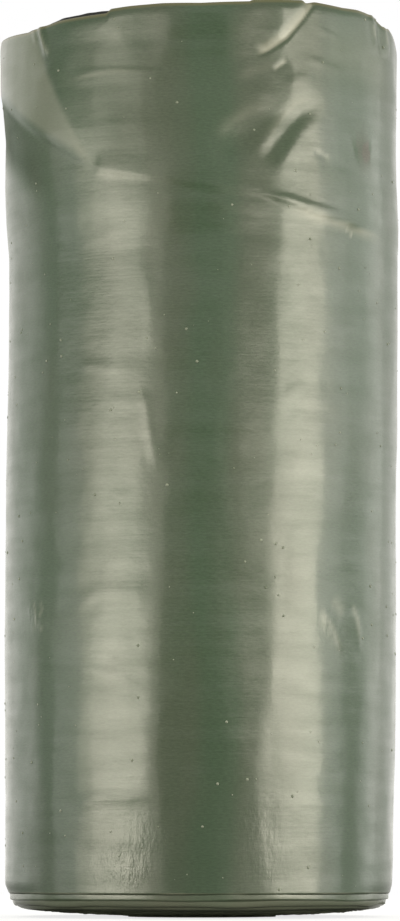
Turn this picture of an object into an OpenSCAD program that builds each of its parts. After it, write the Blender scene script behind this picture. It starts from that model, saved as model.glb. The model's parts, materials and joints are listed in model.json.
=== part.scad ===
// Roll of small folded bags: one strip of thin film, perforated between bags, wound on itself.
// The axis of the roll is +Z. The roll stands on its innermost turns at z = 0, and the front is -Y.

/* [Roll] */
// Diameter of the wound roll at mid height
roll_d = 29; // [25:0.5:40]
// Width of the folded strip, which is the length of every turn
strip_w = 64; // [45:0.1:90]
// Diameter of the hole that the winding spindle left
hole_d = 8.5; // [6:0.1:10]
// Sideways bow of the roll at two thirds of its height
bow = 0.3; // [0:0.05:0.6]

/* [Turns] */
// How far the edge of the outer turn lies above the bottom of the innermost turns
telescope = 1.7; // [1.2:0.1:3]
// Thickness of the tight innermost turns, which the roll stands on
inner_turns_t = 1.2; // [0.8:0.1:2]
// Step from the innermost turns up to the first looser turn
inner_step = 0.12; // [0.05:0.01:0.3]
// Spacing of the turn edges that stand apart on the ends
turn_pitch = 0.9; // [0.7:0.05:1.4]
// Open groove between two such turn edges
turn_gap = 0.24; // [0.1:0.02:0.35]
// Depth of the shallowest groove
groove_depth = 0.3; // [0.15:0.05:0.6]

/* [Outer film] */
// Thickness of the free lip at the top, a few layers of film
lip_t = 0.4; // [0.25:0.05:0.6]
// How far the lip dips at the tuck on the left of the front
lip_dip = 0.85; // [0:0.05:1]
// How far the lip stands up on the right of the front
lip_rise = 0.5; // [0:0.05:1]
// How far the loose film flares out below the lip
flare = 0.35; // [0:0.05:0.5]
// Length of the loose film below the lip
loose_l = 13; // [8:0.5:20]
// How far the free edge of the last bag stands off the turn below it
tail_step = 0.4; // [0.2:0.05:0.7]
// Where that edge runs down the back, in degrees round from the front
tail_at = -168; // [-178:1:-120]
// Radius of the soft edges of the outer film
edge_r = 0.25; // [0.1:0.05:0.4]

/* [Folds] */
// Height of the long crease below the loose film
crease_h = 0.3; // [0.1:0.05:0.5]
// Height of the sharp tucks at the lip
tuck_h = 0.5; // [0.2:0.05:0.6]
// Depth of the soft dents between folds
dent_h = 0.3; // [0.1:0.05:0.4]
// Half width of a sharp fold
fold_w = 0.9; // [0.6:0.1:1.5]

/* [Hidden] */
film_colour = [0.36, 0.42, 0.33];
// Columns round the outer film, closer together at the front, and rows up it
cols = 96;
front_share = 0.4;
rows = 48;
roll_r = roll_d / 2;
hole_r = hole_d / 2;
inner_r = hole_r + inner_turns_t;
turn_t = turn_pitch - turn_gap;
// The outer film hides the solid body of turns, which lies this far under it
body_r = roll_r - bow - tail_step / 2 - dent_h;
outer_turn_r = roll_r - lip_t - tail_step / 2;
film_in_r = body_r - 1;
film_bottom = telescope;
lip_z = telescope + strip_w;
// Floors of the grooves at the two ends
floor_bottom = telescope - edge_r / 2;
floor_top = strip_w - groove_depth;
first_turn_r = inner_r + turn_gap + turn_pitch / 4;
half_turns = floor((outer_turn_r - first_turn_r - turn_t - turn_pitch / 4) / (turn_pitch / 2)) + 1;
// Share of the telescope that the turns take as an even slope and at the outer corner
even_share = 0.1;
corner_share = 0.62;
// Width of the face at the free edge of the last bag
tail_face = 0.6;

// Folds of the outer film: [angle, drop, angle, drop, half width, height], from one end to the other.
// Angles are in degrees to the right of the front, and drops in millimetres below the lip.
FOLDS = [
    [-31, 11.8, -10, 12.7, fold_w, crease_h / 2],
    [-10, 12.7, 20, 13.8, fold_w, crease_h / 3],
    [20, 13.8, 51, 15.3, fold_w, crease_h],
    [51, 15.3, 84, 15.9, fold_w, crease_h / 2],
    [-92, 4.5, -60, 8.4, 2 * fold_w, -dent_h],
    [-60, 8.4, -31, 11.7, 1.5 * fold_w, -dent_h],
    [-50, 3.1, -38, 8.6, fold_w, crease_h / 2],
    [-38, 8.6, -31, 11.4, fold_w, crease_h / 2],
    [-53, 0.6, -48, 3.6, 0.7 * fold_w, tuck_h],
    [33, -0.2, 26, 2.5, fold_w, -tuck_h / 2],
    [26, 2.5, 17, 3.7, fold_w, -tuck_h / 3],
    [36, 6.6, 19, 10.4, 0.8 * fold_w, crease_h / 2],
    [38, 6.9, 17, 12, fold_w, -dent_h],
    [25, 7.2, 5, 11, 1.2 * fold_w, -dent_h / 2],
    [59, 0, 61, 2.4, 0.7 * fold_w, tuck_h / 2],
    [64, 0, 65, 2.8, 0.7 * fold_w, -dent_h],
    [68, 0, 70, 3, 0.7 * fold_w, tuck_h / 2],
    [-43, 4.7, -6, 5.3, fold_w, crease_h / 4],
    [125, 0, 118, 5, fold_w, tuck_h / 2],
    [-128, 0, -121, 4, fold_w, tuck_h / 2],
    [128, 13, 165, 16, fold_w, crease_h / 2],
    [-150, 13.7, -108, 13.3, fold_w, crease_h / 2],
    [36, 43.4, 45, 46.9, fold_w, crease_h / 3],
    [-39, 57.3, -13, 57, fold_w, crease_h / 3]
];

function bell(x, w) = exp(-pow(x / w, 2));
function clamp01(x) = min(1, max(0, x));
function along(p, a, b) = clamp01(((p - a) * (b - a)) / ((b - a) * (b - a)));
function unrolled(angle, drop) = [roll_r * angle * PI / 180, drop];
function off_line(p, a, b) = norm(p - a - along(p, a, b) * (b - a));
function fold(f, p) = f[5] * bell(off_line(p, unrolled(f[0], f[1]), unrolled(f[2], f[3])), f[4]);
function sum_folds(p, i = 0) = i == len(FOLDS) ? 0 : fold(FOLDS[i], p) + sum_folds(p, i + 1);

// Height of the lip round the roll, with the tuck on the left and the raised part on the right
function lip_height(angle) = lip_z - lip_dip * bell(angle + 60, 34) + lip_rise * bell(angle - 36, 28)
    + 0.12 * sin(5 * angle + 40) * bell(abs(angle) - 180, 70);

// How loose the film is at a drop below the lip, from 1 at the lip to 0 on the tight part
function looseness(drop) = pow(clamp01(1 - drop / loose_l), 1.5);
function flutes(angle) = 0.4 * sin(4 * angle + 30) + 0.3 * sin(7 * angle - 60);
function tail_rise(angle) = tail_step * (0.5 - (angle - tail_at) / 360);
function film_r(angle, z) =
    let (drop = lip_z - z)
    roll_r + bow * sin(angle) * sin(180 * pow(clamp01(z / lip_z), 2))
    + flare * looseness(drop) * (1 + flutes(angle))
    + tail_rise(angle) + sum_folds(unrolled(angle, drop));

// Height of the bottom edge of a turn, by its radius
function turn_bottom(r) =
    let (t = clamp01((r - inner_r) / (roll_r - inner_r)))
    inner_step + telescope * (even_share * t + corner_share * pow(t, 6));

function round_at(angle, r, z) = [r * sin(angle), -r * cos(angle), z];
function spread(t) = t + front_share * sin(360 * t) / (2 * PI);
function film_angle(j) = tail_at + (360 - tail_face) * spread(j / (cols - 1));
function film_z(i, angle) = film_bottom + edge_r
    + (lip_height(angle) - edge_r - film_bottom - edge_r) * (1 - pow(1 - i / (rows - 1), 1.35));

// One row of the film's section at an angle: the bottom edge, the outside, the lip, and the hidden inside
function section_point(i, angle) =
    i == 0 ? round_at(angle, film_in_r, film_bottom)
    : i == 1 ? round_at(angle, film_r(angle, film_bottom) - edge_r, film_bottom)
    : i < rows + 2 ? round_at(angle, film_r(angle, film_z(i - 2, angle)), film_z(i - 2, angle))
    : i == rows + 2 ? round_at(angle, film_r(angle, lip_z) - lip_t / 2, lip_height(angle))
    : i == rows + 3 ? round_at(angle, film_r(angle, lip_z) - lip_t, lip_height(angle) - edge_r)
    : i == rows + 4 ? round_at(angle, outer_turn_r + edge_r / 2, floor_top - edge_r)
    : round_at(angle, film_in_r, floor_top - edge_r);

// Outer turn of film as a ring with folds, closed on its hidden inside
module outer_film() {
    n = rows + 6;
    points = [for (i = [0 : n - 1]) for (j = [0 : cols - 1]) section_point(i, film_angle(j))];
    faces = [for (i = [0 : n - 1]) for (j = [0 : cols - 1]) for (side = [0, 1])
        let (a = i * cols + j, b = i * cols + (j + 1) % cols)
        let (c = ((i + 1) % n) * cols + j, d = ((i + 1) % n) * cols + (j + 1) % cols)
        side == 0 ? [a, c, b] : [b, c, d]];
    polyhedron(points = points, faces = faces);
}

module tube(r_out, r_in, z0, z1) {
    rotate_extrude($fn = 96)
        translate([r_in, z0])
            square([r_out - r_in, z1 - z0]);
}

// Half a turn of the strip. Alternating centres make the halves one smooth spiral.
module half_turn(h) {
    r = first_turn_r + h * turn_pitch / 2;
    back = h % 2 == 0;
    translate([back ? -turn_pitch / 4 : turn_pitch / 4, 0, turn_bottom(r + turn_t)])
        rotate([0, 0, back ? 0 : 180])
            rotate_extrude(angle = 180, $fn = 96)
                translate([r, 0])
                    square([turn_t, strip_w]);
}

// Turns of the strip as one solid: tight at the hole, and standing apart as a spiral on both ends
module wound_turns() {
    tube(inner_r, hole_r, 0, strip_w);
    tube(body_r, inner_r - turn_gap, floor_bottom, floor_top);
    for (h = [0 : half_turns - 1])
        half_turn(h);
}

module bag_roll() {
    color(film_colour)
        union() {
            wound_turns();
            outer_film();
        }
}

bag_roll();
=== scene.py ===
import json
import math

import bpy
import numpy as np
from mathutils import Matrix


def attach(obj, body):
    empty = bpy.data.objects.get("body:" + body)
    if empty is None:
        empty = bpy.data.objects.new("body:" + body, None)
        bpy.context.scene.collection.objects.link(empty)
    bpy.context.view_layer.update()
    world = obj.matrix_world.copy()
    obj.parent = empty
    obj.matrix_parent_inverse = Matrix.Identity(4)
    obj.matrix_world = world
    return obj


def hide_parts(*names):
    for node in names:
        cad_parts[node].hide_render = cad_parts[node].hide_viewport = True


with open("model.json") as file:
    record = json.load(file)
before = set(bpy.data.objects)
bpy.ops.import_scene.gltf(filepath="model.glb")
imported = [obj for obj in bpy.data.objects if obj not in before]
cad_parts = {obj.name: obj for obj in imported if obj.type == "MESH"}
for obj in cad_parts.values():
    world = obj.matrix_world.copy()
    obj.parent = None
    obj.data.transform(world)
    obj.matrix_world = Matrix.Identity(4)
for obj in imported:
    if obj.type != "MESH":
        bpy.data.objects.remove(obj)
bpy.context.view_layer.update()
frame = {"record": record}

mounts = {m["name"]: m for m in frame["record"]["mounts"]}

# Outer turn of film
# The last bag on the roll: thin satin polyethylene film, folded lengthwise and wound under light tension.
# It lies tight on the turns below it. Its top stands loose, so it flares, tucks and creases at the lip.
MM = 0.001
strip_w = mounts["spindle_hole"]["dims"]["length_mm"]
hole_r = mounts["spindle_hole"]["dims"]["r_mm"]
roll_r = 14.5
telescope = 1.7
tail_at = -168.0
tail_step = 0.3
tail_face = 0.5
film_t = 0.16
edge_r = 0.12

# A place on the film is an angle in degrees to the right of the front, and a height in millimetres.
# Columns are closest together at the front, and rows at the bottom edge and on the loose part.
front_reach = 96
front_angles = np.linspace(-front_reach, front_reach, 277)[1:-1]
side_angles = np.linspace(tail_at, -front_reach, 44)
back_angles = np.linspace(front_reach, tail_at + 360 - tail_face, 58)
angles = np.concatenate([side_angles, front_angles, back_angles])
loose_share = 0.77
edge_rows = [0, 0.0008, 0.002, 0.004, 0.008, 0.013]
tight_rows = np.linspace(0.019, loose_share, 136)[:-1]
loose_rows = np.linspace(loose_share, 1, 112)
up = np.concatenate([edge_rows, tight_rows, loose_rows])


def bell(x, width):
    return np.exp(-((x / width) ** 2))


def smooth(x, low, high):
    t = np.clip((x - low) / (high - low), 0, 1)
    return t * t * (3 - 2 * t)


def cloud(a, z, cell_angle, cell_z, seed):
    """Smooth seeded noise from -1 to 1, with cells of a given angle and height."""
    rng = np.random.default_rng(seed)
    x = (a + 200) / cell_angle
    y = z / cell_z + 1
    grid = rng.uniform(-1, 1, (int(x.max()) + 4, int(y.max()) + 4))
    i, j = np.floor(x).astype(int), np.floor(y).astype(int)
    u, v = x - i, y - j
    u, v = u * u * (3 - 2 * u), v * v * (3 - 2 * v)
    low = grid[i, j] * (1 - u) + grid[i + 1, j] * u
    high = grid[i, j + 1] * (1 - u) + grid[i + 1, j + 1] * u
    return low * (1 - v) + high * v


def crease(a, z, path, rise, above, below, start=0.22, end=0.22, sharp=0.0):
    """A fold along a path of (angle, height) points, with one half width above it and one below it.

    It fades in over the start share of the path and out over the end share. Sharp makes its sides flat."""
    s = a * math.pi / 180 * roll_r
    ps = [(p * math.pi / 180 * roll_r, q) for p, q in path]
    best = np.full(a.shape, 1e9)
    side = np.zeros(a.shape)
    run = np.zeros(a.shape)
    lengths = [math.dist(p, q) for p, q in zip(ps, ps[1:])]
    total, done = sum(lengths), 0.0
    for (x0, y0), (x1, y1), length in zip(ps, ps[1:], lengths):
        ux, uy = (x1 - x0) / length, (y1 - y0) / length
        along = np.clip((s - x0) * ux + (z - y0) * uy, 0, length)
        dx, dy = s - x0 - along * ux, z - y0 - along * uy
        d = np.hypot(dx, dy)
        near = d < best
        best = np.where(near, d, best)
        side = np.where(near, np.sign(ux * dy - uy * dx), side)
        run = np.where(near, (done + along) / total, run)
        done += length
    across = best / np.where(side > 0, above, below)
    tent = 1.12 - np.sqrt((0.7 * across) ** 2 + 0.015)
    tent = 0.5 * (tent + np.sqrt(tent ** 2 + 0.004))
    fade = smooth(run, 0, start) * smooth(1 - run, 0, end)
    return rise * ((1 - sharp) * np.exp(-(across ** 2)) + sharp * tent) * fade


# Soft folds of the loose film. Each has its path from left to right, its rise, its half widths above and
# below the path, the shares over which it fades in and out, and how sharp it is.
soft_folds = [
    ([(-97, 62.0), (-87, 61.4), (-75, 60.4), (-66, 59.2), (-31, 54.0)], 0.42, 6.5, 2.4, 0.05, 0.45, 0.9),
    ([(-50, 62.6), (-44.5, 60.0), (-38.5, 57.3), (-30.5, 53.8)], 0.14, 0.9, 1.5, 0.15, 0.5, 0.4),
    ([(4, 54.2), (6.5, 54.7), (13.6, 56.4), (24, 58.1), (29, 58.7)], -0.17, 1.3, 0.8, 0.25, 0.35, 0.3),
    ([(16.3, 54.0), (20.1, 55.0), (24.8, 56.6), (29.8, 58.0), (36.5, 58.8), (39, 59.0)],
     -0.20, 0.9, 0.7, 0.25, 0.45, 0.3),
    ([(15.6, 61.9), (19.5, 62.4), (24.6, 63.3), (29.0, 64.6), (33.3, 66.0)],
     -0.08, 0.50, 0.16, 0.15, 0.03, 0.9),
    ([(20.5, 60.8), (25.2, 61.7)], -0.035, 0.22, 0.35, 0.3, 0.15, 0.5),
    ([(-42.5, 61.0), (-33, 61.05), (-21.8, 60.9), (-11.3, 60.7), (-5, 60.4)],
     0.03, 0.22, 0.8, 0.25, 0.3, 0.6),
    ([(-52.7, 65.1), (-50.3, 63.7), (-48, 62.1)], 0.18, 0.28, 0.32, 0.05, 0.4, 0.6),
    ([(-56, 64.9), (-54.6, 64.2), (-53.4, 63.6)], 0.06, 0.2, 0.2, 0.1, 0.4, 0.6),
    ([(58.6, 66.0), (60.2, 64.4), (61.5, 63.4)], 0.12, 0.28, 0.35, 0.05, 0.4, 0.6),
    ([(63, 65.9), (64.4, 64.4), (64.6, 63.0)], -0.16, 0.40, 0.35, 0.05, 0.4, 0.5),
    ([(67, 65.8), (69, 64.2), (69.5, 62.8)], 0.12, 0.35, 0.4, 0.05, 0.4, 0.5),
    ([(33.4, 55.2), (36.2, 55.0), (39.5, 54.8)], -0.03, 0.22, 0.35, 0.15, 0.4, 0.2),
    ([(39.5, 54.8), (50, 54.3), (60, 53.8)], -0.02, 0.25, 0.4, 0.2, 0.4, 0.2),
    ([(22, 59.6), (28, 60.3), (35, 60.6)], 0.05, 0.6, 0.7, 0.4, 0.4, 0.0),
    ([(-30, 64.2), (-27, 63.0)], -0.015, 0.4, 0.4, 0.4, 0.5, 0.0),
    ([(34.3, 64.3), (42, 63.7), (47.6, 63.4)], 0.028, 0.22, 0.3, 0.3, 0.3, 0.4),
    ([(42, 62.5), (50, 62.2), (57, 62.1)], 0.028, 0.22, 0.3, 0.3, 0.3, 0.4),
    ([(29.4, 62.1), (38.7, 61.6), (47.6, 61.1)], 0.026, 0.25, 0.35, 0.3, 0.3, 0.4),
    ([(108, 61), (114, 63), (120, 65.5)], 0.3, 0.9, 0.6, 0.3, 0.05, 0.4),
    ([(-118, 65.5), (-115, 63.5), (-111, 61)], 0.25, 0.6, 0.8, 0.05, 0.4, 0.4),
    ([(150, 65.5), (158, 61.5)], -0.2, 0.8, 0.8, 0.05, 0.4, 0.3),
]
# Smaller creases of the tight film, down to the foot.
small_creases = [
    ([(-32.5, 53.9), (-20, 53.4), (-10, 53.0)], 0.04, 1.0, 0.40, 0.14, 0.5, 0.6),
    ([(-6, 52.7), (3, 52.2), (18.9, 52.0)], -0.012, 0.14, 0.16, 0.3, 0.1, 0.4),
    ([(16, 52.0), (25, 51.6), (33.4, 51.1), (40.7, 50.75), (51.4, 50.3), (67, 49.7)],
     0.065, 0.34, 0.40, 0.2, 0.3, 0.6),
    ([(100, 50), (118, 51.5), (140, 51)], 0.14, 0.8, 0.4, 0.2, 0.2, 0.5),
    ([(-150, 52), (-130, 51), (-108, 52.4)], 0.14, 0.8, 0.4, 0.2, 0.2, 0.5),
    ([(-40, 48.8), (-20, 49.3)], 0.02, 0.4, 0.3, 0.3, 0.3, 0.4),
    ([(-39, 39.6), (-28, 39.3), (-16, 39.2)], 0.030, 0.5, 0.20, 0.2, 0.3, 0.6),
    ([(-28, 36.8), (-11, 36.9)], 0.030, 0.5, 0.20, 0.2, 0.3, 0.6),
    ([(24, 37.4), (32, 38.2)], 0.03, 0.4, 0.3, 0.3, 0.3, 0.4),
    ([(23, 36.6), (45, 36.4)], -0.03, 0.3, 0.5, 0.2, 0.4, 0.4),
    ([(-18.7, 38.2), (-15.7, 36.7), (-14.6, 34.6), (-11.9, 31.6)], 0.035, 0.35, 0.45, 0.3, 0.3, 0.3),
    ([(36, 22.3), (41, 20.7), (44.7, 18.8)], 0.05, 0.35, 0.5, 0.3, 0.3, 0.4),
    ([(49, 22.4), (52, 20.9), (53, 19)], 0.03, 0.3, 0.5, 0.3, 0.3, 0.4),
    ([(-62, 18.9), (-42, 18.2), (-34, 17.8), (-13, 16.3)], 0.028, 0.4, 0.30, 0.3, 0.2, 0.5),
    ([(-43, 21.6), (-31, 23.3), (-28, 23.4), (-13, 23.3)], 0.030, 0.5, 0.45, 0.3, 0.2, 0.5),
    ([(-39, 8.3), (-28, 8.6), (-13, 8.7)], 0.040, 0.3, 0.45, 0.2, 0.3, 0.6),
    ([(27, 8.4), (44, 8.3)], 0.02, 0.3, 0.4, 0.3, 0.3, 0.4),
    ([(-61, 22.8), (-56, 22), (-49, 20.8)], 0.03, 0.3, 0.5, 0.3, 0.3, 0.4),
]
# Upright ridges left by the tension of winding. They part the facets of the tight film.
upright_ridges = [
    ([(-15.2, 48), (-12.6, 43), (-10.2, 38.6)], 0.05, 1.5, 1.0, 0.5, 0.3, 0.2),
    ([(-12, 38.5), (-11.5, 31.0)], 0.03, 1.0, 0.9, 0.5, 0.5, 0.2),
    ([(-12.8, 32.0), (-12.8, 23), (-12.6, 16), (-12.2, 2)], 0.05, 1.6, 1.1, 0.4, 0.3, 0.2),
    ([(17, 32), (18.1, 21.4), (19.3, 17), (21, 11)], 0.05, 1.0, 1.7, 0.4, 0.4, 0.2),
    ([(15, 15), (15.5, 7), (17, 2.5)], 0.03, 0.8, 1.2, 0.4, 0.2, 0.2),
    ([(22.5, 46), (22.5, 38), (23.6, 34)], 0.035, 0.8, 1.3, 0.3, 0.3, 0.3),
    ([(52, 28), (56, 20), (56.5, 4)], 0.05, 1.3, 1.6, 0.3, 0.2, 0.3),
    ([(-56, 26), (-54, 16), (-55, 4)], 0.05, 1.6, 1.3, 0.3, 0.2, 0.3),
    ([(-23.5, 6.2), (-22.5, 3.4), (-22.3, 2.0)], -0.02, 0.20, 0.16, 0.3, 0.1, 0.4),
    ([(-26.2, 3.6), (-26.4, 2.0)], -0.02, 0.16, 0.16, 0.3, 0.1, 0.4),
    ([(-138, 1), (-138, 66)], -0.05, 0.45, 0.45, 0.01, 0.01, 0.3),
    ([(34, 31), (32, 25), (32, 20), (34.5, 15)], 0.06, 2.0, 1.2, 0.4, 0.4, 0.3),
]
# Flattened places where the film is pulled straight: angle, height, half angle, half height, depth.
flats = [
    (8, 60.5, 17, 4.0, 0.26),
    (-26, 58.0, 16, 4.5, 0.10),
    (110, 58, 24, 5.0, 0.35),
    (-105, 59, 22, 4.5, 0.35),
    (165, 57, 22, 5.0, 0.30),
]
# The line between the tight film below and the loose film above, and the height of the lip, round the roll.
loose_from = [
    (-168, 52), (-140, 51.5), (-110, 55), (-87, 61.2), (-66, 59.0), (-48, 56.4), (-31, 54.0), (-20, 53.4),
    (-10, 53.0), (3, 52.2), (19, 51.9), (25, 51.5), (33, 51), (41, 50.7), (51, 50.4), (67, 50),
    (90, 49.5), (110, 50.5), (140, 52), (192, 52),
]
lip_line = [
    (-168, 65.6), (-120, 65.1), (-95, 65.0), (-87.5, 65.2), (-66, 64.85), (-59.3, 64.74), (-54.2, 64.84),
    (-51.7, 64.88), (-44.6, 65.08), (-36.8, 65.13), (-29.8, 65.18), (-27.5, 65.2), (-26.8, 65.48),
    (-20.3, 65.6), (-11.3, 65.68), (0, 65.66), (8.7, 65.77), (13.9, 65.84), (14.8, 65.97), (23.6, 66.1),
    (30.1, 66.2), (31.4, 66.0), (34.2, 66.16), (44.9, 66.08), (51.7, 66.16), (59.8, 66.02), (63.8, 65.85),
    (66, 65.5), (68.5, 65.45), (72, 65.55), (79.8, 65.2), (87.5, 64.7), (95, 64.8), (120, 65.4),
    (160, 65.8), (192, 65.6),
]
# The radius of the left and the right side by height: the roll bows to the right and flares at the top.
left_side = [
    (0, 14.42), (9, 14.42), (22, 14.44), (28, 14.42), (35, 14.36), (40, 14.28), (46, 14.22), (49, 14.24),
    (51.5, 14.47), (54, 14.60), (57, 14.64), (60, 14.56), (63, 14.60), (67, 14.80),
]
right_side = [
    (0, 14.14), (9, 14.36), (16, 14.5), (28, 14.56), (35, 14.7), (46, 14.76), (51, 14.82), (54, 14.76),
    (67, 14.78),
]


def around(a, knots):
    return np.interp(a, [k[0] for k in knots], [k[1] for k in knots])


def film_radius(a, z):
    """Radius of the film's outside: bow and flare, then its edges, folds, flat places and unevenness."""
    above = z - around(a, loose_from)
    loose = smooth(above, -0.5, 6)
    side = np.sin(np.radians(a))
    r = 0.5 * (1 - side) * around(z, left_side) + 0.5 * (1 + side) * around(z, right_side)
    r = r + 0.04 * smooth(above, -0.45, 0.1)
    r = r - (0.2 - 0.06 * side) * smooth(2.5 - z, 0, 0.8) * smooth(side ** 2, 0.5, 1)
    flutes = 0.07 * np.sin(np.radians(4 * a + 30)) + 0.05 * np.sin(np.radians(7 * a - 60))
    r = r + smooth(above, 3, 12) * flutes
    r = r + tail_step * (0.5 - (a - tail_at) / 360)
    r = r + 0.12 * bell(a - tail_at, 5) * (0.7 + 0.4 * np.sin(z / 3.1))
    for fold in soft_folds + small_creases + upright_ridges:
        r = r + crease(a, z, *fold)
    for at, height, half_angle, half_height, depth in flats:
        r = r - depth * bell(a - at, half_angle) * bell(z - height, half_height)
    r = r + 0.045 * cloud(a, z, 14, 11, 11) + (0.022 + 0.02 * loose) * cloud(a, z, 8, 4, 12)
    r = r + (0.007 + 0.004 * loose) * cloud(a, z, 3.5, 1.6, 14) + 0.008 * cloud(a, z, 30, 0.8, 13)
    return r - 0.10 * bell(around(a, lip_line) - z, 0.4)


def turned(a, r, z):
    t = np.radians(a)
    return np.stack([r * np.sin(t), -r * np.cos(t), z], axis=-1)


def ring_faces(n, m, bands):
    """Faces between n rings of m points. With as many bands as rings, the last ring joins the first."""
    i, j = np.meshgrid(np.arange(bands), np.arange(m), indexing="ij")
    here, there, following = i * m, (i + 1) % n * m, (j + 1) % m
    return np.stack([here + j, here + following, there + following, there + j], axis=-1)


# Angle, height and radius of every point of the film's outside, in rows from the bottom up.
A = np.repeat(angles[None, :], len(up), axis=0)
lip = around(angles, lip_line)[None, :]
bottom = telescope + edge_r
Z = bottom + (lip - edge_r - bottom) * up[:, None]
R = film_radius(A, Z)
outside = turned(A, R, Z)
foot_in = turned(angles, R[0] - edge_r, np.full(angles.shape, telescope))
top_out = turned(angles, R[-1] - 0.3 * film_t, lip[0] - 0.25 * edge_r)
top_mid = turned(angles, R[-1] - 0.5 * film_t, lip[0])
top_in = turned(angles, R[-1] - film_t, lip[0] - 0.5 * edge_r)
inside_rows = [4, 12, 22, 36]
inside = [turned(angles, R[-1 - k] - film_t - 0.03 * k, Z[-1 - k]) for k in inside_rows]
hidden_r = np.full(angles.shape, roll_r - 1.15)
hidden_top = np.full(angles.shape, 50.0)
hidden_foot = np.full(angles.shape, telescope + 0.4)
low_in = turned(angles, hidden_r, hidden_top)
foot_deep = turned(angles, hidden_r, hidden_foot)
rings = [foot_deep, foot_in, *outside, top_out, top_mid, top_in, *inside, low_in]
points = np.concatenate(rings) * MM
corner = ring_faces(len(rings), len(angles), len(rings))


def mesh_object(name, vertices, faces):
    data = bpy.data.meshes.new(name)
    data.from_pydata(vertices.tolist(), [], faces.tolist())
    data.shade_smooth()
    data.update()
    thing = bpy.data.objects.new(name, data)
    bpy.context.scene.collection.objects.link(thing)
    return thing


def store(thing, name, values):
    """Keeps one value for each point of a mesh, for its material to read."""
    kept = thing.data.attributes.new(name, "FLOAT", "POINT")
    kept.data.foreach_set("value", values.astype(np.float32))


def store_outside(name, values, hidden):
    """Keeps a value for each point of the film's outside, and one value for its edges and its inside."""
    m = len(angles)
    after = np.full((4 + len(inside_rows)) * m, hidden)
    store(film, name, np.concatenate([np.full(2 * m, hidden), values.ravel(), after]))


film = mesh_object("outer_film", points, corner.reshape(-1, 4))

# How far each point lies below the lip. The turned-in foot and the hidden inside have one drop each.
far, deep = 99.0, 20.0
lip_drops = np.zeros(3 * len(angles))
inside_drops = [lip[0] - Z[-1 - k] for k in inside_rows]
foot_drops, deep_drops = np.full(2 * len(angles), far), np.full(len(angles), deep)
store(film, "drop", np.concatenate([foot_drops, (lip - Z).ravel(), lip_drops, *inside_drops, deep_drops]))

# Where a fold has stretched the film it has turned pale. The same pale places also paint highlights on the
# lit faces of folds and creases, brighter than their gloss alone gives.
pale_places = [
    ([(15.6, 61.9), (19.5, 62.4), (24.6, 63.3), (29.0, 64.6), (33.3, 66.0)],
     0.75, 0.46, 0.10, 0.15, 0.03, 0.9),
    ([(20.8, 60.85), (25.0, 61.7)], 0.35, 0.18, 0.10, 0.3, 0.2, 0.5),
    ([(18.5, 55.6), (23, 57.2), (28, 58.6), (35, 59.3)], 0.16, 0.42, 0.15, 0.3, 0.3, 0.4),
    ([(4.1, 55.6), (8.2, 56.9), (13.4, 57.8), (18.6, 58.3), (23.3, 58.5)],
     0.13, 0.5, 0.35, 0.3, 0.4, 0.3),
    ([(9, 59.9), (14, 60.8), (20.8, 61.3), (23, 61.6)], 0.10, 0.35, 0.35, 0.4, 0.3, 0.3),
    ([(35, 62.8), (52, 62.5), (75, 61.5)], 0.13, 2.2, 1.8, 0.15, 0.4, 0.0),
    ([(-42, 60.45), (-33, 60.75), (-24, 60.95), (-14, 60.7)], 0.14, 0.16, 0.18, 0.3, 0.4, 0.3),
    ([(-31, 53.6), (-22, 53.3), (-12, 52.9)], 0.05, 0.2, 0.4, 0.02, 0.6, 0.5),
    ([(25, 51.2), (34, 50.6), (42, 50.2), (54, 49.8), (66, 49.6)], 0.45, 0.18, 0.38, 0.2, 0.35, 0.5),
    ([(45.5, 49.8), (48.5, 49.4)], 0.5, 0.10, 0.10, 0.2, 0.2, 0.5),
    ([(-52.6, 64.9), (-50.3, 63.6), (-48.3, 62.4)], 0.35, 0.12, 0.20, 0.1, 0.4, 0.5),
    ([(59, 65.4), (60.4, 64.2)], 0.30, 0.12, 0.18, 0.2, 0.4, 0.5),
    ([(67.5, 65.3), (69, 64.0)], 0.25, 0.12, 0.18, 0.2, 0.4, 0.5),
    ([(36, 22.3), (41, 20.7), (44.7, 18.8)], 0.30, 0.22, 0.3, 0.3, 0.3, 0.3),
    ([(40, 23), (43.5, 22.2), (46, 21.8)], 0.22, 0.5, 0.4, 0.3, 0.3, 0.1),
    ([(49, 22.5), (51.5, 21.6), (53, 19.5)], 0.30, 0.2, 0.3, 0.1, 0.6, 0.2),
    ([(-57, 23), (-55.4, 22), (-55.8, 21)], 0.22, 0.12, 0.12, 0.2, 0.2, 0.3),
    ([(-53.5, 22.8), (-52.3, 22.2), (-54.4, 21.6)], 0.22, 0.12, 0.12, 0.2, 0.2, 0.3),
    ([(-58, 20.9), (-54, 21.1), (-51.5, 20.7)], 0.22, 0.12, 0.12, 0.2, 0.2, 0.3),
]
# Painted reflection: the facet above the left fold is painted pale, for the rim light that it throws back.
over_fold = Z - around(A, [(-100, 62.2), (-87, 61.4), (-75, 60.4), (-66, 59.2), (-31, 54.0), (-25, 53.5)])
ridge = around(Z, [(53.8, -30.5), (57.3, -38.5), (60, -44.5), (62.6, -50), (66, -55)])
painted_reflection_facet = smooth(over_fold, -0.1, 0.7) * smooth(ridge - A, -0.4, 2.5) * smooth(A, -110, -98)
paleness = 0.25 * painted_reflection_facet + sum(crease(A, Z, *place) for place in pale_places)
paleness = paleness + 0.3 * smooth(tail_at + 2.0 - A, 0, 1) * (0.6 + 0.4 * np.sign(np.sin(4 * Z)))
# Painted highlight: a pale line along the cut edge at the foot, for the light that its rounded edge
# catches.
paleness = paleness + (0.35 + 0.25 * cloud(A, Z, 6, 1, 17)) * smooth(telescope + 0.16 - Z, 0, 0.05)
store_outside("pale", paleness, 0)
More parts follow.
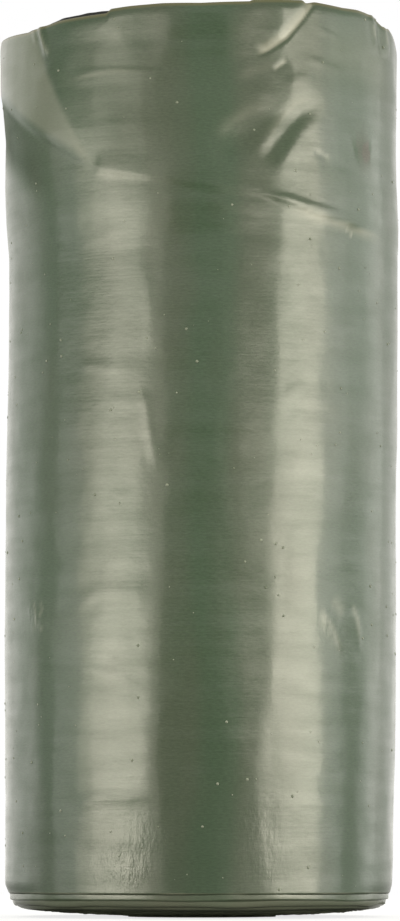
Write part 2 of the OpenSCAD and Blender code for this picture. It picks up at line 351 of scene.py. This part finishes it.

# Where the film hangs slack it is dull. The same mask also darkens its green, as painted shade.
dull_places = [
    ([(-42, 62.5), (-20, 60.5), (0, 59.5), (14, 61.5)], 0.32, 4.0, 5.5, 0.15, 0.25, 0.0),
    ([(-30, 56.5), (-10, 56.5), (6, 55.5)], 0.2, 2.5, 2.2, 0.2, 0.3, 0.0),
    ([(22, 63.5), (40, 62.5), (85, 61)], 0.30, 3.5, 3.2, 0.12, 0.4, 0.0),
    ([(49, 55.6), (53, 56.0), (58, 55.8)], 0.5, 1.1, 1.1, 0.05, 0.05, 0.0),
]
slack = smooth(-over_fold, -0.1, 0.9) * smooth(over_fold, -6.5, -3.5)
slack = slack * smooth(A, -115, -98) * smooth(-A, 36, 60)
dull_and_shade = 0.75 * slack + sum(crease(A, Z, *place) for place in dull_places) + 0.08 * cloud(A, Z, 9, 3, 8)
store_outside("dull", np.clip(dull_and_shade, 0, 1), 0.5)

# Patches of fine crumples. The painted highlight along the cut edge at the foot is among the pale places
# above.
crumpled_places = [
    ([(-28, 5.5), (-22, 3.0), (-18, 2.0)], 1.0, 1.6, 1.6, 0.3, 0.2, 0.2),
    ([(-30, 3.5), (-20, 5.5), (-14, 8)], 0.5, 2.0, 2.0, 0.3, 0.3, 0.0),
    ([(12, 9), (17, 6), (20, 2)], 0.35, 1.8, 1.5, 0.3, 0.2, 0.0),
    ([(-61, 23), (-56, 21.5), (-50, 21)], 0.8, 0.9, 0.9, 0.3, 0.3, 0.2),
    ([(38, 23), (45, 20)], 0.4, 1.5, 1.5, 0.3, 0.3, 0.0),
    ([(100, 8), (130, 3)], 0.6, 2.5, 2.5, 0.3, 0.3, 0.0),
    ([(-140, 4), (-110, 7)], 0.6, 2.5, 2.5, 0.3, 0.3, 0.0),
]
crumpling = np.clip(0.06 + sum(crease(A, Z, *place) for place in crumpled_places), 0, 1)
store_outside("crumple", crumpling, 0)

# The blown film is uneven in thickness, so it runs from a deep green to a warmer olive round the roll.
warm_bands = [
    (-168, 0.5), (-140, 0.15), (-115, 0.55), (-90, 0.25), (-60, 0.05), (-42, 0.1), (-30, 0.5), (-20, 0.4),
    (-12, 0.75), (-5, 0.6), (-1, 0.1), (7, 0.0), (11, 0.6), (17, 0.7), (24, 0.5), (38, 0.35), (46, 0.05),
    (54, 0.05), (62, 0.35), (90, 0.3), (120, 0.55), (150, 0.15), (192, 0.5),
]
lean = A + 2.5 * cloud(A, Z, 60, 16, 5)
warmth = around(lean, warm_bands) + 0.25 * cloud(A, Z, 9, 12, 6) + 0.15 * cloud(A, Z, 6, 3, 7)
warmth = np.clip(warmth, 0, 0.8)
blotch = crease(A, Z, [(51, 55.7), (57, 56.0)], 1, 1.3, 1.2, 0.01, 0.01) * (1 + 0.4 * cloud(A, Z, 3, 1, 9))
warmth = np.clip(warmth + 1.1 * blotch, 0, 1)
store_outside("warmth", warmth, 0.5)


def unroll(thing, columns, heights, corner):
    """Gives rings of film their UV map: the film laid flat, where one unit is 100 mm across and up."""
    column = corner % len(columns)
    wrapped = (column == 0) & (column.max(axis=-1, keepdims=True) == len(columns) - 1)
    across = (columns[column] + 360 * wrapped) * math.pi / 180 * roll_r
    flat = np.stack([across, heights[corner]], axis=-1).reshape(-1, 2) / 100 + (0.5, 0)
    thing.data.uv_layers.new(name="unrolled").data.foreach_set("uv", flat.astype(np.float32).ravel())


unroll(film, angles, points[:, 2] / MM, corner)


def maths(tree, operation, *values):
    """One step of arithmetic on numbers and on other nodes' outputs."""
    made = tree.nodes.new("ShaderNodeMath")
    made.operation = operation
    for socket, value in zip(made.inputs, values):
        if isinstance(value, (int, float)):
            socket.default_value = value
        else:
            tree.links.new(value, socket)
    return made.outputs[0]


def film_group():
    """What blown film does to light: drawing lines along its length, soft waves and a milky cloudiness."""
    group = bpy.data.node_groups.new("blown film", "ShaderNodeTree")
    for name in ["Line depth", "Wave depth", "Grain depth"]:
        made = group.interface.new_socket(name, in_out="INPUT", socket_type="NodeSocketFloat")
        made.min_value, made.max_value = 0, 1
    for name in ["Height", "Crumples", "Grain", "Lines", "Bloom"]:
        group.interface.new_socket(name, in_out="OUTPUT", socket_type="NodeSocketFloat")
    given = group.nodes.new("NodeGroupInput")
    result = group.nodes.new("NodeGroupOutput")
    flat = group.nodes.new("ShaderNodeUVMap")
    flat.uv_map = "unrolled"

    def noise(scale, detail, roughness):
        mapping = group.nodes.new("ShaderNodeMapping")
        mapping.inputs["Scale"].default_value = scale
        group.links.new(flat.outputs[0], mapping.inputs["Vector"])
        made = group.nodes.new("ShaderNodeTexNoise")
        made.inputs["Scale"].default_value = 1
        made.inputs["Detail"].default_value = detail
        made.inputs["Roughness"].default_value = roughness
        group.links.new(mapping.outputs[0], made.inputs["Vector"])
        return made.outputs[0]

    lines = noise((14, 420, 1), 3, 0.65)
    waves = noise((32, 50, 1), 3, 0.55)
    grain = noise((260, 900, 1), 3, 0.7)
    bloom = noise((16, 65, 1), 5, 0.62)
    crumples = maths(group, "SUBTRACT", noise((120, 42, 1), 4, 0.6), 0.5)
    crumples = maths(group, "ABSOLUTE", crumples)
    height = maths(group, "MULTIPLY", lines, given.outputs["Line depth"])
    height = maths(group, "ADD", height, maths(group, "MULTIPLY", waves, given.outputs["Wave depth"]))
    height = maths(group, "ADD", height, maths(group, "MULTIPLY", grain, given.outputs["Grain depth"]))
    for output, value in zip(result.inputs, (height, crumples, grain, lines, bloom)):
        group.links.new(value, output)
    return group


film_material = bpy.data.materials.new("film")
film_material.use_nodes = True
tree = film_material.node_tree
principled = tree.nodes["Principled BSDF"]
principled.inputs["Specular IOR Level"].default_value = 0.7
principled.inputs["Coat Roughness"].default_value = 0.15
surface = tree.nodes.new("ShaderNodeGroup")
surface.node_tree = film_group()
surface.inputs["Line depth"].default_value = 0.09
surface.inputs["Wave depth"].default_value = 0.45
surface.inputs["Grain depth"].default_value = 0.05


def stored(name):
    """Reads what a mesh keeps for each of its points."""
    made = tree.nodes.new("ShaderNodeAttribute")
    made.attribute_name = name
    return made.outputs["Fac"]


def remap(value, low, high, new_low, new_high):
    """Stretches a value from one range to another and holds it inside."""
    made = tree.nodes.new("ShaderNodeMapRange")
    for name, limit in zip(("From Min", "From Max", "To Min", "To Max"), (low, high, new_low, new_high)):
        made.inputs[name].default_value = limit
    tree.links.new(value, made.inputs["Value"])
    return made.outputs[0]


def mixed(share, below, colour):
    """Lays a colour over another by a share from 0 to 1."""
    made = tree.nodes.new("ShaderNodeMix")
    made.data_type = "RGBA"
    made.inputs[7].default_value = (*colour, 1)
    tree.links.new(share, made.inputs[0])
    tree.links.new(below, made.inputs[6])
    return made.outputs[2]


# The crumples stand on the fine relief that lies all over the film.
relief_depth = 0.10 * MM
crumple_depth = 1.7
crumples = maths(tree, "MULTIPLY", surface.outputs["Crumples"], stored("crumple"))
relief = maths(tree, "MULTIPLY_ADD", crumples, crumple_depth, surface.outputs["Height"])
bump = tree.nodes.new("ShaderNodeBump")
bump.inputs["Strength"].default_value = 0.6
bump.inputs["Distance"].default_value = relief_depth
tree.links.new(relief, bump.inputs["Height"])
tree.links.new(bump.outputs[0], principled.inputs["Normal"])
tree.links.new(bump.outputs[0], principled.inputs["Coat Normal"])

# The green is painted darker where the film is dull, as painted shade; it runs to olive where the film is
# thin, and ends in a brown stain.
deep_green, olive, brown = (0.080, 0.139, 0.076), (0.101, 0.137, 0.083), (0.124, 0.126, 0.084)
lip_olive, stretched_and_painted_light_film = (0.20, 0.20, 0.10), (0.62, 0.62, 0.50)
hue = tree.nodes.new("ShaderNodeValToRGB")
hue.color_ramp.elements[0].color = (*deep_green, 1)
hue.color_ramp.elements[1].position = 0.8
hue.color_ramp.elements[1].color = (*olive, 1)
hue.color_ramp.elements.new(1.0).color = (*brown, 1)
tree.links.new(stored("warmth"), hue.inputs["Fac"])
grains = remap(surface.outputs["Grain"], 0.3, 0.7, 0.80, 1.20)
tint = tree.nodes.new("ShaderNodeVectorMath")
tint.operation = "SCALE"
tree.links.new(hue.outputs[0], tint.inputs[0])
# Painted shade: the green is darkened to seven tenths where the film is dull.
tree.links.new(maths(tree, "MULTIPLY", grains, remap(stored("dull"), 0.4, 1, 1, 0.7)), tint.inputs["Scale"])
near_lip = remap(stored("drop"), 0.12, 0.30, 1, 0)
green = mixed(near_lip, tint.outputs[0], lip_olive)
tree.links.new(mixed(stored("pale"), green, stretched_and_painted_light_film), principled.inputs["Base Color"])

# The dull parts are rougher, and have no gloss over them.
roughness = maths(
    tree, "ADD", remap(surface.outputs["Lines"], 0, 1, 0.27, 0.36), remap(stored("dull"), 0, 1, 0, 0.50)
)
tree.links.new(roughness, principled.inputs["Roughness"])
gloss = remap(surface.outputs["Bloom"], 0.32, 0.68, 0.50, 1)
gloss = maths(tree, "MULTIPLY", gloss, remap(stored("dull"), 0, 1, 1, 0))
tree.links.new(gloss, principled.inputs["Coat Weight"])
film.data.materials.append(film_material)
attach(film, "root")
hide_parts("bag_roll")

# Wound turns
# The rest of the strip, wound on a spindle that was drawn out again. The turns have crept along the axis,
# so the innermost ones stand lowest and the roll rests on them. Geometry Nodes sweep the strip on a spiral.
turn_pitch = 0.30
turn_t = 0.21
rest_r = hole_r + 1.2
outer_turn_r = roll_r - 0.85
turn_count = (outer_turn_r - hole_r) / turn_pitch
first_step = 0.12
slope_share, corner_share = 0.2, 0.62
unevenness = 0.35

tree = bpy.data.node_groups.new("wound strip", "GeometryNodeTree")
face = tree.interface
for name, kind, default in [
    ("Turns", "NodeSocketFloat", turn_count),
    ("Start radius", "NodeSocketFloat", hole_r * MM),
    ("End radius", "NodeSocketFloat", outer_turn_r * MM),
    ("Strip thickness", "NodeSocketFloat", turn_t * MM),
    ("Strip width", "NodeSocketFloat", strip_w * MM),
    ("Material", "NodeSocketMaterial", None),
]:
    made = face.new_socket(name, in_out="INPUT", socket_type=kind)
    if default is not None:
        made.default_value = default
face.new_socket("Geometry", in_out="OUTPUT", socket_type="NodeSocketGeometry")


def node(kind, **values):
    """Adds a node to the tree and sets its properties."""
    made = tree.nodes.new(kind)
    for name, value in values.items():
        setattr(made, name, value)
    return made


def wire(source, target):
    tree.links.new(source, target)


given = node("NodeGroupInput")
spiral = node("GeometryNodeCurveSpiral")
spiral.inputs["Resolution"].default_value = 72
wire(given.outputs["Turns"], spiral.inputs["Rotations"])
wire(given.outputs["Start radius"], spiral.inputs["Start Radius"])
wire(given.outputs["End radius"], spiral.inputs["End Radius"])
spiral.inputs["Height"].default_value = 0
place = node("GeometryNodeInputPosition")
radius = node("ShaderNodeVectorMath", operation="LENGTH")
wire(place.outputs[0], radius.inputs[0])
beyond = maths(tree, "SUBTRACT", radius.outputs["Value"], rest_r * MM)
share = maths(tree, "DIVIDE", beyond, (roll_r - rest_r) * MM)
share = maths(tree, "MAXIMUM", share, 0)
corner = maths(tree, "MULTIPLY", maths(tree, "POWER", share, 6), corner_share * telescope * MM)
slope = maths(tree, "MULTIPLY", share, slope_share * telescope * MM)
step = maths(tree, "MULTIPLY", maths(tree, "GREATER_THAN", share, 0), first_step * MM)
noise = node("ShaderNodeTexNoise", noise_dimensions="3D")
noise.inputs["Scale"].default_value = 900
noise.inputs["Detail"].default_value = 2
wire(place.outputs[0], noise.inputs["Vector"])
jitter = maths(tree, "MULTIPLY", maths(tree, "SUBTRACT", noise.outputs[0], 0.5), unevenness * MM)
jitter = maths(tree, "MULTIPLY", jitter, maths(tree, "GREATER_THAN", share, 0))
rise = maths(tree, "ADD", maths(tree, "ADD", corner, slope), maths(tree, "ADD", step, jitter))
rise = maths(tree, "MAXIMUM", rise, 0)
offset = node("ShaderNodeCombineXYZ")
half_width = maths(tree, "MULTIPLY", given.outputs["Strip width"], 0.5)
wire(maths(tree, "ADD", rise, half_width), offset.inputs["Z"])
turned_round = node("GeometryNodeTransform")
turned_round.inputs["Rotation"].default_value = (0, 0, math.radians(90) - 2 * math.pi * (turn_count % 1))
wire(spiral.outputs[0], turned_round.inputs["Geometry"])
lift = node("GeometryNodeSetPosition")
wire(turned_round.outputs[0], lift.inputs["Geometry"])
wire(offset.outputs[0], lift.inputs["Offset"])
upright = node("GeometryNodeSetCurveNormal")
upright.mode = "Z_UP"
wire(lift.outputs[0], upright.inputs["Curve"])
section = node("GeometryNodeCurvePrimitiveQuadrilateral")
wire(given.outputs["Strip thickness"], section.inputs["Width"])
wire(given.outputs["Strip width"], section.inputs["Height"])
rounded = node("GeometryNodeFilletCurve")
rounded.inputs["Radius"].default_value = 0.06 * MM
sweep = node("GeometryNodeCurveToMesh")
sweep.inputs["Fill Caps"].default_value = True
wire(section.outputs[0], sweep.inputs["Profile Curve"])
wire(upright.outputs[0], sweep.inputs["Curve"])
solid = node("GeometryNodeRealizeInstances")
paint = node("GeometryNodeSetMaterial")
wire(sweep.outputs[0], solid.inputs[0])
wire(solid.outputs[0], paint.inputs["Geometry"])
wire(given.outputs["Material"], paint.inputs["Material"])
result = node("NodeGroupOutput")
wire(paint.outputs[0], result.inputs[0])


def mottled_film(name, darker, lighter, scale, roughness):
    """Film seen on its edge, as a grain, or painted near black as shade, with its green mottled between two
    tones.
    """
    material = bpy.data.materials.new(name)
    material.use_nodes = True
    nodes, links = material.node_tree.nodes, material.node_tree.links
    principled = nodes["Principled BSDF"]
    principled.inputs["Roughness"].default_value = roughness
    principled.inputs["Specular IOR Level"].default_value = 0.7
    point = nodes.new("ShaderNodeTexCoord")
    mottle = nodes.new("ShaderNodeTexNoise")
    mottle.inputs["Scale"].default_value = scale
    mottle.inputs["Detail"].default_value = 3
    tones = nodes.new("ShaderNodeValToRGB")
    for element, position, tone in zip(tones.color_ramp.elements, (0.35, 0.65), (darker, lighter)):
        element.position = position
        element.color = (*tone, 1)
    links.new(point.outputs["Object"], mottle.inputs["Vector"])
    links.new(mottle.outputs[0], tones.inputs["Fac"])
    links.new(tones.outputs[0], principled.inputs["Base Color"])
    return material


# The turn edges are painted paler than the film: partly the pale look of film seen on its edge, partly
# painted light for their glints and against the shade under the roll.
painted_light_turn_material = mottled_film("turn edges", (0.235, 0.275, 0.19), (0.30, 0.34, 0.245), 1200, 0.45)


def grown(name, tree, inputs, start=None):
    """Runs a Geometry Nodes tree on an empty mesh and keeps the result as a plain mesh object."""
    base = start or bpy.data.objects.new(name + "_base", bpy.data.meshes.new(name + "_base"))
    if start is None:
        bpy.context.scene.collection.objects.link(base)
    modifier = base.modifiers.new("growth", "NODES")
    modifier.node_group = tree
    sockets = {s.name: s.identifier for s in tree.interface.items_tree if s.in_out == "INPUT"}
    for key, value in inputs.items():
        modifier[sockets[key]] = value
    graph = bpy.context.evaluated_depsgraph_get()
    data = bpy.data.meshes.new_from_object(base.evaluated_get(graph))
    base.modifiers.remove(modifier)
    if start is None:
        bpy.data.objects.remove(base)
    thing = bpy.data.objects.new(name, data)
    thing.data.name = name
    bpy.context.scene.collection.objects.link(thing)
    return thing


turns = grown("wound_turns", tree, {"Material": painted_light_turn_material})
turns.data.shade_smooth()
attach(turns, "root")
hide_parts("bag_roll")

# Specks
# Grains of unmelted film that stand out as tiny pale beads, scattered all round by Geometry Nodes.
shell_faces = ring_faces(len(up), len(angles), len(up) - 1).reshape(-1, 4)
shell = mesh_object("shell", outside.reshape(-1, 3) * MM, shell_faces)
tree = bpy.data.node_groups.new("specks", "GeometryNodeTree")
for name, kind, default in [
    ("Geometry", "NodeSocketGeometry", None),
    ("Specks per square metre", "NodeSocketFloat", 90000.0),
    ("Radius", "NodeSocketFloat", 0.10 * MM),
    ("Seed", "NodeSocketInt", 4),
    ("Material", "NodeSocketMaterial", None),
]:
    made = tree.interface.new_socket(name, in_out="INPUT", socket_type=kind)
    if default is not None:
        made.default_value = default
tree.interface.new_socket("Geometry", in_out="OUTPUT", socket_type="NodeSocketGeometry")
given = node("NodeGroupInput")
scattered = node("GeometryNodeDistributePointsOnFaces")
wire(given.outputs["Geometry"], scattered.inputs["Mesh"])
wire(given.outputs["Specks per square metre"], scattered.inputs["Density"])
wire(given.outputs["Seed"], scattered.inputs["Seed"])
bead = node("GeometryNodeMeshIcoSphere")
bead.inputs["Subdivisions"].default_value = 1
wire(given.outputs["Radius"], bead.inputs["Radius"])
flat_bead = node("GeometryNodeTransform")
flat_bead.inputs["Scale"].default_value = (1, 1, 0.45)
wire(bead.outputs["Mesh"], flat_bead.inputs["Geometry"])
sizes = node("FunctionNodeRandomValue", data_type="FLOAT")
sizes.inputs[2].default_value = 0.30
sizes.inputs[3].default_value = 1.3
wire(given.outputs["Seed"], sizes.inputs["Seed"])
beads = node("GeometryNodeInstanceOnPoints")
wire(scattered.outputs["Points"], beads.inputs["Points"])
wire(flat_bead.outputs["Geometry"], beads.inputs["Instance"])
wire(scattered.outputs["Rotation"], beads.inputs["Rotation"])
wire(sizes.outputs[1], beads.inputs["Scale"])
solid = node("GeometryNodeRealizeInstances")
paint = node("GeometryNodeSetMaterial")
wire(beads.outputs[0], solid.inputs[0])
wire(solid.outputs[0], paint.inputs["Geometry"])
wire(given.outputs["Material"], paint.inputs["Material"])
result = node("NodeGroupOutput")
wire(paint.outputs[0], result.inputs[0])
speck_material = mottled_film("specks", (0.25, 0.30, 0.21), (0.55, 0.60, 0.48), 150, 0.3)
specks = grown("specks", tree, {"Material": speck_material}, shell)
bpy.data.objects.remove(shell)
specks.data.shade_smooth()
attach(specks, "root")
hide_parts("bag_roll")

# Foot turns
# The last few turns under the outer film, of the same film. Each has crept a little further down than the
# one outside it, and the lowest is turned in. They are one ring, made from a listed section.
# Each point of the section is how far it lies inside the foot of the outer film, and its height.
foot_profile = [
    (0.4, 3.0), (0.13, 2.2), (0.12, 1.9), (0.12, 1.6), (0.12, 1.40), (0.13, 1.31), (0.17, 1.27),
    (0.25, 1.27), (0.29, 1.33), (0.30, 1.24), (0.33, 1.10), (0.38, 0.98), (0.47, 0.87), (0.58, 0.82),
    (0.64, 0.84), (0.68, 0.80), (0.76, 0.70), (0.88, 0.64), (0.98, 0.66), (1.04, 0.60), (1.3, 0.55),
    (1.6, 0.7), (1.6, 3.0),
]
around_angles = np.linspace(tail_at, tail_at + 360, 361)[:-1]
film_foot = film_radius(around_angles, np.full(around_angles.shape, telescope))
rings = []
for step, (inward, ring_z) in enumerate(foot_profile):
    sway = cloud(around_angles, 0 * around_angles, 14, 1, 40 + step // 8)
    rise = 0.07 * sway * (ring_z < 1.5)
    rings.append(turned(around_angles, film_foot - inward + 0.02 * sway, ring_z + rise))
corner = ring_faces(len(rings), len(around_angles), len(rings))[..., [0, 3, 2, 1]]
foot_points = np.concatenate(rings)
foot_turns = mesh_object("foot_turns", foot_points * MM, corner.reshape(-1, 4))
unroll(foot_turns, around_angles, foot_points[:, 2], corner)
band = np.tile(np.clip(around(around_angles, warm_bands), 0, 1), len(rings))
store(foot_turns, "warmth", band)
store(foot_turns, "drop", np.full(len(foot_points), far))
store(foot_turns, "crumple", np.full(len(foot_points), 0.15))
# Painted light: the foot's rings are painted paler, most of all the low turned-in ones that face down, for
# light from below.
painted_underlight = [0.10 + 0.20 * (ring_z < 1.25) for _, ring_z in foot_profile]
store(foot_turns, "pale", np.repeat(painted_underlight, len(around_angles)))
foot_turns.data.materials.append(film_material)
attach(foot_turns, "root")
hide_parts("bag_roll")

# Next turn in
# The turn under the outer film, which shows as a dark sliver where the outer lip dips. It is the same film,
# painted near black as painted shade for the shadow it lies in.
next_line = [
    (-168, 65.0), (-100, 64.6), (-66, 64.86), (-60, 64.98), (-55.5, 65.0), (-53.2, 64.8), (-51.2, 65.05),
    (-44.6, 65.3), (-36.8, 65.38), (-29.8, 65.46), (-27, 65.42), (-24, 65.2), (0, 65.1), (40, 65.4),
    (62, 65.7), (68, 65.68), (72, 65.45), (76, 65.3), (90, 64.6), (192, 65.0),
]
around_angles = np.linspace(tail_at, tail_at + 360, 481)[:-1]
rims = around(around_angles, next_line) + 0.03 * cloud(around_angles, 0 * around_angles, 3, 1, 21)
next_r = np.minimum(film_radius(around_angles, rims - 1) - film_t - 0.1, roll_r - 0.15)
rings = [
    turned(around_angles, next_r, rims - 2.5),
    turned(around_angles, next_r, rims - 0.05),
    turned(around_angles, next_r - 0.03, rims),
    turned(around_angles, next_r - 0.12, rims),
    turned(around_angles, next_r - 0.16, rims - 0.05),
    turned(around_angles, next_r - 0.4, rims - 2.5),
]
corner = ring_faces(len(rings), len(around_angles), len(rings))
next_turn = mesh_object("next_turn", np.concatenate(rings) * MM, corner.reshape(-1, 4))
# Painted shade: the film's colour here is set near black.
shadowed_film = mottled_film("shadowed film", (0.009, 0.010, 0.009), (0.016, 0.018, 0.015), 600, 0.6)
next_turn.data.materials.append(shadowed_film)
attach(next_turn, "root")
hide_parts("bag_roll")

# Floor
# A small acrylic table top: plain white to the camera with the soft shadow of the roll on it, and dark and
# glossy to the light that it throws back on the roll.
floor_r = 0.16
floor_material = bpy.data.materials.new("pale floor")
floor_material.use_nodes = True
tree = floor_material.node_tree
glossy_floor = tree.nodes["Principled BSDF"]
glossy_floor.inputs["Base Color"].default_value = (0.14, 0.14, 0.137, 1)
glossy_floor.inputs["Roughness"].default_value = 0.12
plain_floor = tree.nodes.new("ShaderNodeBsdfDiffuse")
plain_floor.inputs["Color"].default_value = (0.6, 0.6, 0.59, 1)
glow = tree.nodes.new("ShaderNodeEmission")
glow.inputs["Strength"].default_value = 0.75
shown = tree.nodes.new("ShaderNodeAddShader")
seen = tree.nodes.new("ShaderNodeLightPath")
swap = tree.nodes.new("ShaderNodeMixShader")
tree.links.new(plain_floor.outputs[0], shown.inputs[0])
tree.links.new(glow.outputs[0], shown.inputs[1])
tree.links.new(seen.outputs["Is Camera Ray"], swap.inputs[0])
tree.links.new(glossy_floor.outputs[0], swap.inputs[1])
tree.links.new(shown.outputs[0], swap.inputs[2])
tree.links.new(swap.outputs[0], tree.nodes["Material Output"].inputs["Surface"])
ring = np.radians(np.arange(0, 360, 7.5))
disc = np.stack([floor_r * np.cos(ring), floor_r * np.sin(ring), 0 * ring], axis=-1)
floor = mesh_object("floor", disc, np.array([range(len(ring))]))
floor.data.materials.append(floor_material)

# Light
# A light tent, bright behind the roll and dim at its sides and low in front. Two upright soft boxes, at the
# front left and front right, give the two long highlights, and dimmer ones beside them soften their edges.
world = bpy.data.worlds.new("light tent")
bpy.context.scene.world = world
world.use_nodes = True
tree = world.node_tree
tent = tree.nodes["Background"]
direction = tree.nodes.new("ShaderNodeTexCoord")
parts = tree.nodes.new("ShaderNodeSeparateXYZ")
tree.links.new(direction.outputs["Generated"], parts.inputs[0])


def ramp(source, low, high, stops):
    """A grey ramp over a value from low to high, with (position, grey) stops."""
    reach = tree.nodes.new("ShaderNodeMapRange")
    reach.inputs["From Min"].default_value = low
    reach.inputs["From Max"].default_value = high
    tree.links.new(source, reach.inputs["Value"])
    made = tree.nodes.new("ShaderNodeValToRGB")
    elements = made.color_ramp.elements
    while len(elements) < len(stops):
        elements.new(0.5)
    for element, (position, grey) in zip(elements, stops):
        element.position = position
        element.color = (grey, grey, grey, 1)
    tree.links.new(reach.outputs[0], made.inputs["Fac"])
    return made.outputs[0]


back_to_front = [(0, 1), (0.27, 0.98), (0.38, 0.45), (0.62, 0.30), (0.80, 0.4), (1, 0.4)]
round_about = ramp(parts.outputs["Y"], 1, -1, back_to_front)
below = ramp(parts.outputs["Z"], -0.12, 0.12, [(0, 0.2), (0.5, 1), (0.75, 0.9), (1, 0.75)])
to_right = ramp(parts.outputs["X"], 0.1, 0.6, [(0, 1), (1, 0.82)])
shaded = tree.nodes.new("ShaderNodeVectorMath")
shaded.operation = "MULTIPLY"
tree.links.new(round_about, shaded.inputs[0])
tree.links.new(below, shaded.inputs[1])
aside = tree.nodes.new("ShaderNodeVectorMath")
aside.operation = "MULTIPLY"
tree.links.new(shaded.outputs[0], aside.inputs[0])
tree.links.new(to_right, aside.inputs[1])
in_front = ramp(parts.outputs["Y"], -0.80, -0.96, [(0, 0), (1, 1)])
height = ramp(parts.outputs["Z"], -0.03, 0.20, [(0, 0.02), (0.2, 0.05), (0.5, 0.40), (1, 0.58)])
blend = tree.nodes.new("ShaderNodeMix")
blend.data_type = "RGBA"
tree.links.new(in_front, blend.inputs[0])
tree.links.new(aside.outputs[0], blend.inputs[6])
tree.links.new(height, blend.inputs[7])
cloth = tree.nodes.new("ShaderNodeVectorMath")
cloth.operation = "MULTIPLY"
cloth.inputs[1].default_value = (1.0, 0.985, 0.93)
tree.links.new(blend.outputs[2], cloth.inputs[0])
tree.links.new(cloth.outputs[0], tent.inputs["Color"])
tent.inputs["Strength"].default_value = 1.15
bright = tree.nodes.new("ShaderNodeBackground")
bright.inputs["Color"].default_value = (1, 1, 1, 1)
bright.inputs["Strength"].default_value = 1.0
mix = tree.nodes.new("ShaderNodeMixShader")
path = tree.nodes.new("ShaderNodeLightPath")
tree.links.new(path.outputs["Is Camera Ray"], mix.inputs[0])
tree.links.new(tent.outputs[0], mix.inputs[1])
tree.links.new(bright.outputs[0], mix.inputs[2])
tree.links.new(mix.outputs[0], tree.nodes["World Output"].inputs[0])


def soft_box(name, start, stop, low, high, radiance, colour):
    """An upright area light, between two angles to the right of the front and two heights in metres."""
    away = 0.6
    lamp = bpy.data.lights.new(name, "AREA")
    lamp.shape = "RECTANGLE"
    lamp.size = 2 * away * math.tan(math.radians(stop - start) / 2)
    lamp.size_y = high - low
    lamp.energy = radiance * math.pi * lamp.size * lamp.size_y
    lamp.color = colour
    box = bpy.data.objects.new(name, lamp)
    turn = math.radians((start + stop) / 2)
    box.location = (away * math.sin(turn), -away * math.cos(turn), (low + high) / 2)
    box.rotation_euler = (math.pi / 2, 0, turn)
    bpy.context.scene.collection.objects.link(box)


warm_light = (1.0, 0.945, 0.78)
pale_light = (1.0, 0.99, 0.93)
for box in [
    ("left soft box", -58, -36, -0.06, 0.07, 5.6, warm_light),
    ("left soft box, middle", -58, -36, 0.07, 0.11, 3.6, warm_light),
    ("left soft box, top", -58, -36, 0.11, 0.20, 2.6, warm_light),
    ("left soft box, inner edge", -36, -31, -0.06, 0.07, 3.4, warm_light),
    ("left soft box, inner edge high", -36, -31, 0.07, 0.135, 1.1, warm_light),
    ("left soft box, inner fade", -31, -21, -0.04, 0.18, 1.1, warm_light),
    ("left soft box, outer edge", -66, -58, -0.06, 0.035, 5.6, warm_light),
    ("left soft box, outer edge high", -66, -58, 0.035, 0.135, 3.2, warm_light),
    ("left soft box, low", -76, -66, -0.06, 0.02, 3.4, warm_light),
    ("left side", -75, -66, 0.02, 0.12, 2.2, warm_light),
    ("left far side", -92, -75, -0.06, 0.12, 1.1, pale_light),
    ("right soft box", 45, 74, -0.06, 0.09, 6.2, warm_light),
    ("right soft box, middle", 45, 74, 0.09, 0.14, 5.0, warm_light),
    ("right soft box, top", 45, 74, 0.14, 0.22, 3.2, warm_light),
    ("right side", 74, 90, -0.02, 0.22, 2.0, pale_light),
    ("right side, high", 90, 104, 0.05, 0.25, 1.3, pale_light),
    ("right far side", 104, 130, -0.02, 0.25, 0.9, pale_light),
    ("right fill", 37, 45, -0.05, 0.10, 2.3, warm_light),
    ("right fill, high", 22, 37, 0.04, 0.09, 3.4, warm_light),
    ("right fill, inner fade", 12, 22, 0.04, 0.09, 1.2, warm_light),
]:
    soft_box(*box)

# Camera
# A long lens almost at the level of the table, a third of a metre away and tilted up a little, so that one
# row low in the picture is level with it. The scale is the picture's at the roll's axis.
image_h = 921
level_y = 850
pixels_per_m = 13464
camera_x = -0.07 * MM
camera_z = 4.9 * MM
camera_away = 342 * MM
focal_px = pixels_per_m * camera_away
lens = bpy.data.cameras.new("camera")
lens.sensor_width = 36
lens.lens = lens.sensor_width * focal_px / image_h
camera = bpy.data.objects.new("camera", lens)
pitch = math.atan((level_y - image_h / 2) / focal_px)
camera.location = (camera_x, -camera_away, camera_z)
camera.rotation_euler = (math.pi / 2 + pitch, 0, 0)
bpy.context.scene.collection.objects.link(camera)
bpy.context.scene.camera = camera
bpy.context.scene.view_settings.view_transform = "Standard"
